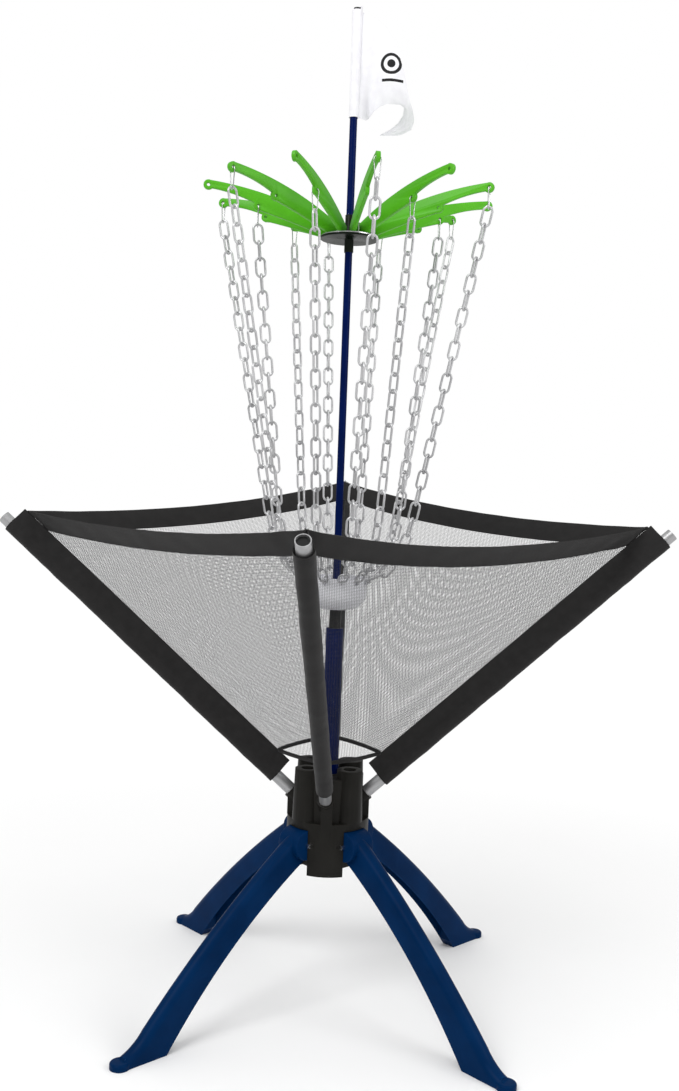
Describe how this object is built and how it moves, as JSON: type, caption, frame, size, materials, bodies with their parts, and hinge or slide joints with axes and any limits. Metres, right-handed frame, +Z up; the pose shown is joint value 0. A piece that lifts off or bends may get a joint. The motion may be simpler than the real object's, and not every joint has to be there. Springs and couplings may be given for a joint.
{
  "type": "disc golf basket",
  "caption": "Free-standing portable disc golf basket with folding legs, a mesh catcher on slanting tubes, hanging chains on green arms and a small flag.",
  "frame": {"origin": "on the floor under the mast, at the centre of the four feet", "axes": "+Z up along the mast; -Y towards the front catcher tube, +X towards the right one"},
  "size_m": [1.1034, 1.0335, 1.602],
  "materials": {
    "hub_plastic": "fine moulded grain, dark warm grey",
    "leg_blue": "satin navy paint",
    "pole_blue": "gloss navy paint",
    "bright_steel": "drawn, satin",
    "tube_metal": "satin anodised",
    "black_plastic": "satin black",
    "head_plastic": "dark green-black",
    "arm_green": "bright lime green, semi-gloss",
    "chain_zinc": "zinc plated, satin",
    "dish_white": "white, semi-gloss",
    "mesh": "black open polyester mesh",
    "webbing": "black woven nylon",
    "flag_cloth": "white plain-weave polyester"
  },
  "bodies": {
    "base": {"base_hub": "hub_plastic", "leg_pivot_pins": "bright_steel", "lower_pole": "pole_blue", "pole_ferrule": "black_plastic", "tube_end_plugs": "black_plastic", "bottom_hem": "webbing", "basket_tube_front": "tube_metal", "basket_tube_right": "tube_metal", "basket_tube_back": "tube_metal", "basket_tube_left": "tube_metal", "tube_sleeve_front": "webbing", "tube_sleeve_right": "webbing", "tube_sleeve_back": "webbing", "tube_sleeve_left": "webbing", "mesh_panel_front_right": "mesh", "mesh_panel_right_back": "mesh", "mesh_panel_back_left": "mesh", "mesh_panel_left_front": "mesh", "top_band_front_right": "webbing", "top_band_right_back": "webbing", "top_band_back_left": "webbing", "top_band_left_front": "webbing"},
    "leg_front_right": {"leg_front_right": "leg_blue"},
    "leg_back_right": {"leg_back_right": "leg_blue"},
    "leg_back_left": {"leg_back_left": "leg_blue"},
    "leg_front_left": {"leg_front_left": "leg_blue"},
    "mast": {"main_pole": "pole_blue", "chain_dish": "dish_white", "dish_rings": "bright_steel", "head_base": "head_plastic", "head_plate": "bright_steel", "head_posts": "bright_steel", "chain_clips": "bright_steel", "arm_01": "arm_green", "arm_02": "arm_green", "arm_03": "arm_green", "arm_04": "arm_green", "arm_05": "arm_green", "arm_06": "arm_green", "arm_07": "arm_green", "arm_08": "arm_green", "arm_09": "arm_green", "arm_10": "arm_green", "arm_11": "arm_green", "arm_12": "arm_green"},
    "flag_staff": {"flag_pole": "pole_blue", "pole_cap": "black_plastic"},
    "flag": {"flag": "flag_cloth"},
    "chain_01": {"chain_01": "chain_zinc"},
    "chain_02": {"chain_02": "chain_zinc"},
    "chain_03": {"chain_03": "chain_zinc"},
    "chain_04": {"chain_04": "chain_zinc"},
    "chain_05": {"chain_05": "chain_zinc"},
    "chain_06": {"chain_06": "chain_zinc"},
    "chain_07": {"chain_07": "chain_zinc"},
    "chain_08": {"chain_08": "chain_zinc"},
    "chain_09": {"chain_09": "chain_zinc"},
    "chain_10": {"chain_10": "chain_zinc"},
    "chain_11": {"chain_11": "chain_zinc"},
    "chain_12": {"chain_12": "chain_zinc"}
  },
  "joints": [
    {"name": "leg_front_right_fold", "type": "hinge", "parent": "base", "child": "leg_front_right", "pos_m": [0.04384, -0.04384, 0.266], "axis": [0.7071, 0.7071, 0], "range_deg": [0, 44]},
    {"name": "leg_back_right_fold", "type": "hinge", "parent": "base", "child": "leg_back_right", "pos_m": [0.04384, 0.04384, 0.266], "axis": [-0.7071, 0.7071, 0], "range_deg": [0, 44]},
    {"name": "leg_back_left_fold", "type": "hinge", "parent": "base", "child": "leg_back_left", "pos_m": [-0.04384, 0.04384, 0.266], "axis": [-0.7071, -0.7071, 0], "range_deg": [0, 44]},
    {"name": "leg_front_left_fold", "type": "hinge", "parent": "base", "child": "leg_front_left", "pos_m": [-0.04384, -0.04384, 0.266], "axis": [0.7071, -0.7071, 0], "range_deg": [0, 44]},
    {"name": "mast_lift", "type": "slide", "parent": "base", "child": "mast", "axis": [0, 0, 1], "range_m": [0, 0.075]},
    {"name": "flag_staff_lift", "type": "slide", "parent": "mast", "child": "flag_staff", "axis": [0, 0, 1], "range_m": [0, 0.025]},
    {"name": "flag_turn", "type": "hinge", "parent": "flag_staff", "child": "flag", "pos_m": [0, 0, 1.5], "axis": [0, 0, 1], "continuous": true},
    {"name": "chain_01_swing", "type": "hinge", "parent": "mast", "child": "chain_01", "pos_m": [0.0104, -0.0535, 0.692], "axis": [0.054, -0.2776, 0.9592], "range_deg": [-10, 10]},
    {"name": "chain_02_swing", "type": "hinge", "parent": "mast", "child": "chain_02", "pos_m": [0.03576, -0.04113, 0.692], "axis": [0.108, -0.1242, 0.9864], "range_deg": [-10, 10]},
    {"name": "chain_03_swing", "type": "hinge", "parent": "mast", "child": "chain_03", "pos_m": [0.05153, -0.01774, 0.692], "axis": [0.2674, -0.0921, 0.9592], "range_deg": [-10, 10]},
    {"name": "chain_04_swing", "type": "hinge", "parent": "mast", "child": "chain_04", "pos_m": [0.0535, 0.0104, 0.692], "axis": [0.1616, 0.0314, 0.9864], "range_deg": [-10, 10]},
    {"name": "chain_05_swing", "type": "hinge", "parent": "mast", "child": "chain_05", "pos_m": [0.04113, 0.03576, 0.692], "axis": [0.2134, 0.1855, 0.9592], "range_deg": [-10, 10]},
    {"name": "chain_06_swing", "type": "hinge", "parent": "mast", "child": "chain_06", "pos_m": [0.01774, 0.05153, 0.692], "axis": [0.0536, 0.1557, 0.9864], "range_deg": [-10, 10]},
    {"name": "chain_07_swing", "type": "hinge", "parent": "mast", "child": "chain_07", "pos_m": [-0.0104, 0.0535, 0.692], "axis": [-0.054, 0.2776, 0.9592], "range_deg": [-10, 10]},
    {"name": "chain_08_swing", "type": "hinge", "parent": "mast", "child": "chain_08", "pos_m": [-0.03576, 0.04113, 0.692], "axis": [-0.108, 0.1242, 0.9864], "range_deg": [-10, 10]},
    {"name": "chain_09_swing", "type": "hinge", "parent": "mast", "child": "chain_09", "pos_m": [-0.05153, 0.01774, 0.692], "axis": [-0.2674, 0.0921, 0.9592], "range_deg": [-10, 10]},
    {"name": "chain_10_swing", "type": "hinge", "parent": "mast", "child": "chain_10", "pos_m": [-0.0535, -0.0104, 0.692], "axis": [-0.1616, -0.0314, 0.9864], "range_deg": [-10, 10]},
    {"name": "chain_11_swing", "type": "hinge", "parent": "mast", "child": "chain_11", "pos_m": [-0.04113, -0.03576, 0.692], "axis": [-0.2134, -0.1855, 0.9592], "range_deg": [-10, 10]},
    {"name": "chain_12_swing", "type": "hinge", "parent": "mast", "child": "chain_12", "pos_m": [-0.01774, -0.05153, 0.692], "axis": [-0.0536, -0.1557, 0.9864], "range_deg": [-10, 10]}
  ]
}
